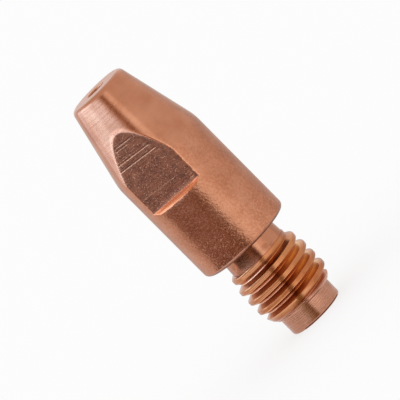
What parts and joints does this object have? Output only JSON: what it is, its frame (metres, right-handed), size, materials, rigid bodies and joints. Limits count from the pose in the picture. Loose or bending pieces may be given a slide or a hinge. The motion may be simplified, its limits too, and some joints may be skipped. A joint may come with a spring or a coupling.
{
  "type": "welding contact tip",
  "caption": "Turned copper contact tip for wire-feed welding: tapered nose with a wire bore, round body with spanner flats, and a threaded shank with a plain pilot.",
  "frame": {"origin": "centre of the inlet end face, on the axis of the wire bore; the tip stands on that face", "axes": "+Z along the wire bore, from the inlet end to the nose; the two spanner flats face -Y and +Y"},
  "size_m": [0.01, 0.01, 0.03],
  "materials": {
    "copper": "bare copper, satin, with fine turning lines"
  },
  "bodies": {
    "root": {"contact_tip": "copper"}
  },
  "joints": []
}
